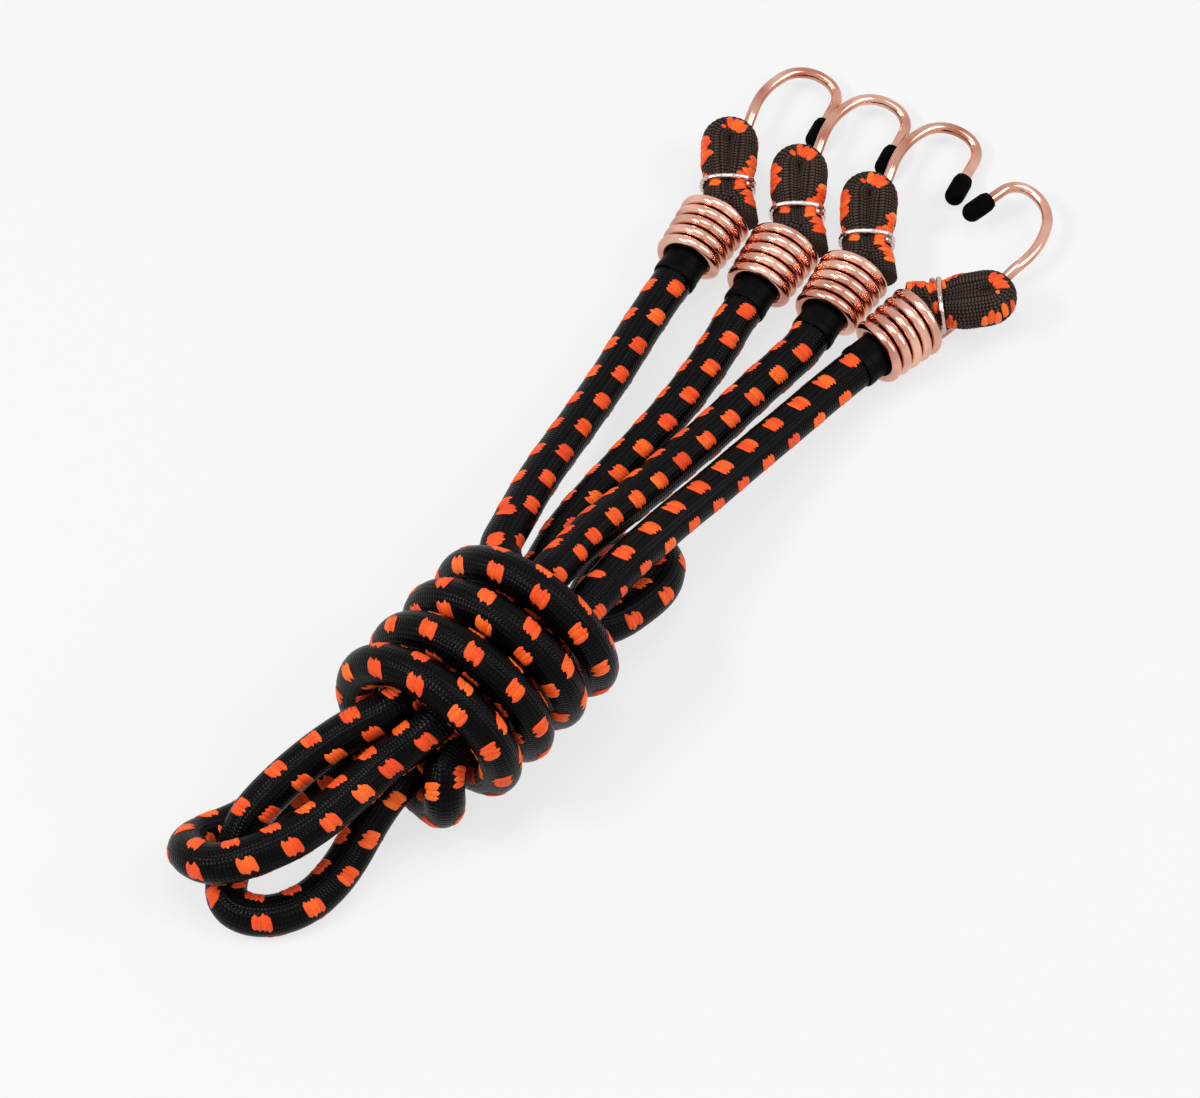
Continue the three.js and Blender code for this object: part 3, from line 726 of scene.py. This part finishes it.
legJoint = sleeveFront - sleeve["length"] / 2


def endFrame(end):
    # from an end's own millimetres to the row frame's millimetres
    place = Matrix.Translation((end["x"], end["y"], coilAxisHeight))
    return place @ Matrix.Rotation(radians(end["heading"]), 4, "Z")


def placed(points, end):
    matrix = np.array(endFrame(end))
    return np.asarray(points, float) @ matrix[:3, :3].T + matrix[:3, 3]


# Hooks and tie rings, bent from wire


def wirePiece(name, line, thickness, radius, material):
    edges = [(i, i + 1) for i in range(len(line) - 1)]
    source = pointMesh(name, line * mm, edges, thickness=thickness)
    return baked(name, source, bentWire, wireRadius=radius * mm, sides=hook["sides"], material=material)


def wireFormer(start, forward, up):
    points = [np.array(start, float)]
    state = {"forward": Vector(forward), "up": Vector(up)}

    def run(length):
        pieces = max(2, round(length / hook["runStep"]))
        for _ in range(pieces):
            points.append(points[-1] + np.array(state["forward"]) * length / pieces)

    def bend(radius, angle, axis):
        steps = max(4, round(abs(angle) / hook["bendStep"]))
        chord = 2 * radius * sin(radians(abs(angle) / steps / 2))
        halfTurn = Matrix.Rotation(radians(angle / steps / 2), 3, axis)
        turn = Matrix.Rotation(radians(angle / steps), 3, axis)
        for _ in range(steps):
            points.append(points[-1] + np.array(halfTurn @ state["forward"]) * chord)
            state["forward"] = turn @ state["forward"]
            state["up"] = turn @ state["up"]

    def roll(angle):
        state["up"] = Matrix.Rotation(radians(angle), 3, state["forward"]) @ state["up"]

    return points, state, run, bend, roll


def hookLine(end):
    side = end["side"]
    count = hook["coilTurns"] * hook["stationsInTurn"]
    coil = []
    for i in range(count + 1):
        part = i / count
        angle = side * (part * hook["coilTurns"] * 2 * pi - pi / 2) - (pi if side < 0 else 0)
        radius = coilStartRadius + hook["coilMouthFlare"] * part
        coil.append((coilBack + coilLength * part, radius * cos(angle), radius * sin(angle)))
    upright = Vector(upwards)
    points, state, run, bend, roll = wireFormer(coil.pop(), (0, side, 0), upright)
    bend(hook["exitBendRadius"], -side * (90 - end["shankAngle"]), upright)
    run(hook["shankFlatRun"])
    level = state["forward"].cross(state["up"]).normalized()
    bend(hook["shankBendRadius"], hook["shankSlope"], level)
    run(end["shankRun"])
    bend(hook["shankBendRadius"], -hook["shankSlope"], level)
    roll(side * end["hookTilt"])
    for radius, angle in (*hook["shoulderAndCrown"], (hook["throatBendRadius"], end["throatAngle"])):
        bend(radius, -side * angle, state["up"].copy())
    run(end["tipRun"])
    return np.array(coil + points), points[-1], state["forward"]


def addHook(number, end):
    wire, wireEnd, wireWay = hookLine(end)
    piece = wirePiece(f"hook{number}", placed(wire, end), [1.0] * len(wire), wireRadius, copperPlate)
    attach(piece, f"end_{number}")
    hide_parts(f"hook_{number}")
    return wireEnd, wireWay


# Vinyl tips and sleeves, turned round an axis


def rounded(points, radius, steps=4, mostShare=0.45):
    # a profile with its corners eased, each by at most this share of the sides that meet there
    result = [points[0]]
    for before, corner, after in zip(points, points[1:], points[2:]):
        b, c, a = (np.array(p, float) for p in (before, corner, after))
        cut = min(radius, norm(b - c) * mostShare, norm(a - c) * mostShare)
        start = c + (b - c) / norm(b - c) * cut
        stop = c + (a - c) / norm(a - c) * cut
        for i in range(steps + 1):
            part = i / steps
            result.append(tuple((1 - part) ** 2 * start + 2 * part * (1 - part) * c + part**2 * stop))
    return result + [points[-1]]


def turned(name, profile, sides, material, matrix):
    # profile: pairs of radius and height, a closed loop or from pole to pole
    angles = np.arange(sides) * 2 * pi / sides
    points, faces, index = [], [], []
    loop = profile[0] == profile[-1]
    for radius, height in profile[:-1] if loop else profile:
        if radius == 0:
            index.append([len(points)] * sides)
            points.append((0, height, 0))
        else:
            index.append(list(range(len(points), len(points) + sides)))
            points += [(radius * sin(a), height, radius * cos(a)) for a in angles]
    if loop:
        index.append(index[0])
    for low, high in zip(index, index[1:]):
        for k in range(sides):
            n = (k + 1) % sides
            face = [low[k], low[n], high[n], high[k]]
            face = [v for j, v in enumerate(face) if v not in face[:j]]
            if len(face) > 2:
                faces.append(face)
    mesh = bpy.data.meshes.new(name)
    mesh.from_pydata(points, [], faces)
    mesh.transform(matrix)
    mesh.transform(Matrix.Scale(mm, 4))
    mesh.shade_smooth()
    mesh.materials.append(material)
    return linked(name, mesh)


tip = {
    # from the axis and along it: the hole's floor, the mouth, the lip, and the side up to the dome
    "profile": [(0, 5.9), (1.7, 5.9), (1.7, 0), (2.15, 0), (2.15, 0.21), (2.5, 1.15), (2.525, 4.13),
                (2.5, 5.9)],
    "length": 8.4, "domeRadius": 2.5, "domeAngles": (0.15, pi / 2 - 0.12), "domeSteps": 9,
    "cornerRadius": 0.3, "sides": 40,
}


def tipProfile():
    radius = tip["domeRadius"]
    dome = [(radius * cos(a), tip["length"] - radius + radius * sin(a))
            for a in np.linspace(*tip["domeAngles"], tip["domeSteps"])]
    return rounded(tip["profile"], tip["cornerRadius"]) + dome + [(0, tip["length"])]


def addTip(number, end, wireEnd, wireWay):
    back = Matrix.Translation(np.array(wireEnd) - np.array(wireWay) * hook["hookPoint"])
    place = endFrame(end) @ back @ Vector((0, 1, 0)).rotation_difference(wireWay).to_matrix().to_4x4()
    piece = turned(f"vinylTip{number}", tipProfile(), tip["sides"], dippedVinyl, place)
    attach(piece, f"end_{number}")
    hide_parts(f"hook_tip_{number}")


def addSleeve(number, end):
    back = Matrix.Translation((sleeveFront - sleeve["shown"], 0, 0))
    place = endFrame(end) @ back @ Matrix.Rotation(-pi / 2, 4, "Z")
    profile = rounded([(cordRadius + out, along) for out, along in sleeve["profile"]], sleeve["cornerRadius"])
    piece = turned(f"sleeve{number}", profile, sleeve["sides"], shrinkSleeve, place)
    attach(piece, f"sleeve_{number}")
    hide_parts(f"collar_{number}")


# Folded ends: the cord runs through its coil, up one side of the knob, round, and down the other

knob = {
    "width": 14.2, "thickness": 9.6, "neckWidth": 11.2, "neckThickness": 8.8, "reach": 19.2,
    "foldGap": 0.5, "slope": 8.0, "tailWidth": 8.0, "tailReach": 3.1, "tailOffset": 6.4, "tailBulge": 1.1,
    "entryShares": (0.7, 0.9, 0.95),  # of the neck's offset, and of the cord's width and thickness
    "neckSwellShare": 1.08,
    "cheekShares": (0.45, 0.97, 0.98),  # of the way up, of the lobe's offset and of its width
    "fullShare": 0.75,  # of the way up, where the lobe is at its widest
    "topStops": 7, "topSquashShare": 0.1, "tailNeckShare": 0.45, "tailWideShare": 0.92,
    "spare": 0.7,  # how far the pressed sides reach past the middle before they are cut flat
    "groove": -0.06,
    "squareShare": 0.42,  # how square a pressed side's corners are
    "pressRate": 20.0, "pressBelowShare": 0.93,
    # the numbers of the stops where the fold changes
    "changes": {"from": 4, "bendFrom": 8, "top": 11, "bendTo": 14, "to": 18},
    "lineStep": 0.05, "searchReach": 25.0, "steps": 360, "sides": 78, "ribHeight": 0.16,
}
ring = {
    "wireDiameter": 1.5, "lap": 2.1, "lapAngle": 100.0, "steps": 160, "ridges": 27,
    "clearance": 0.05, "squareness": 2.6, "meanSwell": 0.95, "ripple": 0.06,
}


def knobFrame(end):
    side, slope = end["side"], radians(knob["slope"])
    heading = radians(side * end["knobAngle"])
    way = np.array((cos(heading) * cos(slope), sin(heading) * cos(slope), sin(slope)))
    across = np.array((-sin(heading), cos(heading), 0)) * side
    neck = np.array((end["neckReach"], side * end["neckOffset"], 0))
    return way, across, neck


def foldStops(end):
    # points that the cord's middle line passes, each with the half width, the half thickness and the
    # reach towards the other strand
    side = end["side"]
    way, across, neck = knobFrame(end)
    lobe = (knob["width"] - knob["foldGap"]) / 4
    lobeOffset = lobe + knob["foldGap"] / 2
    neckLobe = (knob["neckWidth"] - knob["foldGap"]) / 4
    neckOffset = neckLobe + knob["foldGap"] / 2
    foldStart = knob["reach"] - lobeOffset - lobe
    neckHalf = ring["lap"] / 2 + ring["wireDiameter"] / 2
    halfThick, halfNeck = knob["thickness"] / 2, knob["neckThickness"] / 2
    spare, groove = knob["spare"], knob["groove"]
    stops = []

    def stop(point, wide, thick, inner=None):
        stops.append((np.array(point, float), wide, thick, wide if inner is None else inner))

    def at(ahead, sideways):
        return neck + way * ahead + across * sideways

    for x in (legJoint + cord["seatGap"] / 2, legJoint + cord["diameter"], -hook["wireDiameter"]):
        stop((x, 0, 0), cordRadius, cordRadius)
    offset, wide, thick = knob["entryShares"]
    stop((end["neckReach"] / 3, side * end["neckOffset"] * offset, 0), cordRadius * wide, cordRadius * thick)
    up, offset, wide = knob["cheekShares"]
    swell = neckLobe * knob["neckSwellShare"]
    strandStops = [
        (-neckHalf, neckOffset, swell, halfNeck, neckOffset + spare),
        (neckHalf, neckOffset, swell, halfNeck, neckOffset + spare),
        (foldStart * up, lobeOffset * offset, lobe * wide, halfThick, lobeOffset + spare),
        (foldStart * knob["fullShare"], lobeOffset, lobe, halfThick, lobeOffset + spare),
    ]
    for ahead, sideways, wide, thick, inner in strandStops:
        stop(at(ahead, sideways), wide, thick, inner)
    for i in range(knob["topStops"]):
        angle = i / (knob["topStops"] - 1) * pi
        squash = 1 - knob["topSquashShare"] * sin(angle)
        stop(at(foldStart + lobeOffset * sin(angle), lobeOffset * cos(angle)),
             lobe, halfThick * squash, lobeOffset - groove)
    for ahead, sideways, wide, thick, inner in reversed(strandStops):
        stop(at(ahead, -sideways), wide, thick, inner)
    tail = np.array((knob["tailReach"], -side * knob["tailOffset"], 0))
    half = knob["tailWidth"] / 2
    share = knob["tailNeckShare"]
    stop(at(0, -neckOffset) * share + tail * (1 - share), half * knob["tailWideShare"], half)
    stop(tail, half, half)
    return stops


def foldedLine(end):
    # the middle line in even steps, the sizes along it, and how far along the fold changes
    stops = foldStops(end)
    line = smoothLine([s[0] for s in stops], knob["lineStep"])
    along = lengths(line)
    window = int(knob["searchReach"] / knob["lineStep"])
    marks = []
    begin = 0
    for s in stops:
        begin += int(np.argmin(norm(line[begin:] - s[0], axis=1)[:window]))
        marks.append(along[begin])
    even = np.linspace(0, along[-1], knob["steps"] + 1)
    points, sizes = between(even, along, line), between(even, marks, [s[1:] for s in stops])
    return points, sizes, even, {key: marks[number] for key, number in knob["changes"].items()}


def ribRelief(along, sides):
    # the ribs that the braid material draws, as heights half above and half below the rings' points
    column = np.arange(sides)[None, :] / sides * braidLook["columns"]
    inColumn, odd = column % 1.0, np.floor(column) % 2
    lean = (2 * odd - 1) * inColumn * braidLook["slant"]
    inRib = (odd / 2 + along[:, None] / braidLook["yarnPitch"] + lean) % 1.0
    return np.sin(pi * inRib) * np.sin(pi * inColumn) ** braidLook["columnRoundness"] - 0.5


def foldedMesh(name, end, points, sizes, even, fold):
    across, neck = knobFrame(end)[1:]
    tangents, sides, ups = frames(points, across)
    count = knob["sides"]
    angles = np.arange(count) * 2 * pi / count
    c, s = np.cos(angles), np.sin(angles)
    rings = []
    for point, sideWay, upWay, (wide, thick, inner) in zip(points, sides, ups, sizes):
        narrow = wide < cordRadius * knob["pressBelowShare"]
        press = min(1.0, max(0.0, (inner / wide - 1.0) * knob["pressRate"])) if narrow else 0.0
        power = 1.0 - knob["squareShare"] * press
        x = np.where(c >= 0, wide * c, -inner * np.abs(c) ** power)
        y = thick * np.sign(s) * np.where(c >= 0, np.abs(s), np.abs(s) ** power)
        rings.append(point + sideWay * x[:, None] + upWay * y[:, None])
    # the two strands press flat against each other between them
    for i, at in enumerate(even):
        if fold["from"] < at < fold["bendFrom"] or fold["bendTo"] < at < fold["to"]:
            half = 1 if at < fold["top"] else -1
            sideways = (rings[i] - neck) @ across * half
            rings[i] += np.outer(np.maximum(knob["groove"] - sideways, 0) * half, across)
    rings = np.array(rings)
    outward = rings - points[:, None, :]
    outward /= norm(outward, axis=2)[:, :, None]
    along = lengths(points)
    rings += outward * ribRelief(along, count)[:, :, None] * knob["ribHeight"]
    rings = placed(rings.reshape(-1, 3), end).reshape(len(points), count, 3)
    poles = placed([points[0], points[-1] + tangents[-1] * knob["tailBulge"]], end)
    return closedSurface(name, rings * mm, poles * mm, along / uvLength, brownBraid)


# Flecks on the folded end: from the top of the fold along the cord in mm, the way they
# face in degrees up from outward, the floats, and how far and wide each reaches
knobFlecks = [
    (1.6, 92.0, 4, 1.3, 1.2), (2.8, 122.0, 3, 1.1, 1.0), (-2.4, 112.0, 1, 0.6, 1.0),
    (13.8, 34.0, 5, 1.15, 1.3), (16.6, 84.0, 2, 0.9, 1.0), (19.4, 84.0, 4, 1.15, 1.0),
    (-19.0, 88.0, 3, 0.9, 1.0), (23.4, 44.0, 4, 1.15, 1.1), (-15.5, 0.0, 3, 1.0, 1.0),
    (14.5, -90.0, 4, 1.1, 1.0), (-4.0, -90.0, 4, 1.1, 1.0), (5.5, -8.0, 3, 1.0, 1.0),
    (-20.5, -90.0, 3, 1.1, 1.0),
]
knobYarn = {
    "spacing": 0.95, "width": 1.55, "lift": 0.02, "reaches": (0.85, 1.1), "tones": (0.2, 0.9),
    "jitter": 5.0, "stagger": 6.0, "lean": 12.0,  # degrees
    "mostOfCurveShare": 0.9,
}


def knobFloats(end, points, sizes, even, fold):
    # each float is bowed to the knob's own roundness where it lies
    yarn = knobYarn
    tangents, sides, ups = frames(points, knobFrame(end)[1])
    if ups[len(points) // 2][2] < 0:
        ups = -ups
    matrix = np.array(endFrame(end))[:3, :3]
    halfArc = radians(flecks["arc"] / 2)
    fullReach, fullBow = cordRadius * sin(halfArc), cordRadius * (1 - cos(halfArc))
    floats = []
    for at, facing, count, reach, width in (*knobFlecks, end["cheekFleck"]):
        for j in range(count):
            s = fold["top"] + at + (j - (count - 1) / 2) * yarn["spacing"] * width
            i = min(int(np.searchsorted(even, s)), len(points) - 1)
            if i < 2:
                continue
            stagger = yarn["stagger"] if j % 2 else -yarn["stagger"]
            angle = radians(facing + yarn["jitter"] * rng.uniform(-1, 1) + stagger)
            wide, thick = sizes[i][:2]
            out = sides[i] * cos(angle) * thick + ups[i] * sin(angle) * wide
            out /= norm(out)
            surface = sides[i] * cos(angle) * wide + ups[i] * sin(angle) * thick
            curve = hypot(wide * sin(angle), thick * cos(angle)) ** 3 / (wide * thick)
            reached = min(fullReach * reach * rng.uniform(*yarn["reaches"]), yarn["mostOfCurveShare"] * curve)
            bow = (curve - sqrt(curve**2 - reached**2)) / fullBow
            centre = points[i] + surface + out * (yarn["lift"] - cordRadius * bow)
            lean = yarn["lean"] * rng.uniform(-1, 1)
            tone = rng.uniform(*yarn["tones"])
            floats.append(laidFloat(placed([centre], end)[0], matrix @ out, matrix @ tangents[i], lean,
                                    (bow, reached / fullReach, yarn["width"] * width), tone))
    return floatPlaces(floats)


def addFoldedEnd(number, end):
    shape = foldedLine(end)
    jacket = foldedMesh(f"foldedEnd{number}", end, *shape)
    piece = withFloats(f"foldedEnd{number}", jacket, knobFloats(end, *shape))
    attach(piece, f"end_{number}")
    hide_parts(f"cord_end_{number}")


def ringLine(end):
    # a rounded oval round the neck, its ends lapped along the cord
    way, across, neck = knobFrame(end)
    up = np.cross(way, across) * end["side"]
    radius = ring["wireDiameter"] / 2
    wide = knob["neckWidth"] / 2 + ring["clearance"] + radius
    thick = knob["neckThickness"] / 2 + ring["clearance"] + radius
    power = ring["squareness"]
    points, thickness = [], []
    for i in range(ring["steps"] + 1):
        part = i / ring["steps"]
        angle = radians(-180 - ring["lapAngle"] / 2 + (360 + ring["lapAngle"]) * part)
        c, s = cos(angle), sin(angle)
        bulge = (abs(c) ** power + abs(s) ** power) ** (-1 / power)
        points.append(neck + across * wide * bulge * c + up * thick * bulge * s
                      + way * ring["lap"] * (part - 0.5))
        thickness.append(ring["meanSwell"] + ring["ripple"] * sin(2 * pi * part * ring["ridges"]))
    return np.array(points), thickness


def addTieRing(number, end):
    line, thickness = ringLine(end)
    piece = wirePiece(f"tieRing{number}", placed(line, end), thickness, ring["wireDiameter"] / 2, silverWire)
    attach(piece, f"end_{number}")
    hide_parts(f"tie_ring_{number}")


# Legs and their rubber cores: they stretch between the hank and the sleeves

leg = {
    "towardsView": (-0.41, -0.34, 0.85),
    "fleckLength": 3.75, "fleckStagger": 3.0,
    "fixedStations": 7,  # at the sleeve, where the leg doesn't stretch
}
rubber = {"diameter": 6.8, "threads": 12, "ripple": 0.1, "sides": 60, "setBackStations": 1}


def legLine(number, end):
    root, way = legRoot(number)
    front = legJoint - cord["seatGap"] / 2
    mouth = placed([(front - back, 0, 0) for back in (cordRadius, cordRadius / 2, 0)], end)
    route = [root, root + way * cordRadius, *legRoutes[number - 1][1:], *mouth]
    return smoothLine(route, cord["step"], cord["easing"])


def addLeg(number, end, line):
    pitch, phase, roll = end["legFlecks"]
    piece = braidedCord(f"leg{number}", line, leg["towardsView"], pitch, leg["fleckLength"], phase, roll,
                        leg["fleckStagger"])
    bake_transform(piece)
    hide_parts(f"cord_leg_{number}")
    float(lengths(line)[-1]) * mm


def addRubberCore(number, line):
    name = f"rubberCore{number}"
    around = np.arange(rubber["sides"]) * 2 * pi / rubber["sides"]
    radii = rubber["diameter"] / 2 * (1 - rubber["ripple"] * (1 - np.cos(rubber["threads"] * around)) / 2)
    inner = line[rubber["setBackStations"]:-rubber["setBackStations"]]
    piece = linked(name, tube(name, inner, upwards, radii, rubberThreads))
    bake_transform(piece)
    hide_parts(f"rubber_core_{number}")


for number, end in enumerate(ends, 1):
    line = legLine(number, end)
    addLeg(number, end, line)
    addSleeve(number, end)
    wireEnd, wireWay = addHook(number, end)
    addTip(number, end, wireEnd, wireWay)
    addFoldedEnd(number, end)
    addTieRing(number, end)
    addRubberCore(number, line)
    print("end", number, "made, leg", round(float(lengths(line)[-1])), "mm")
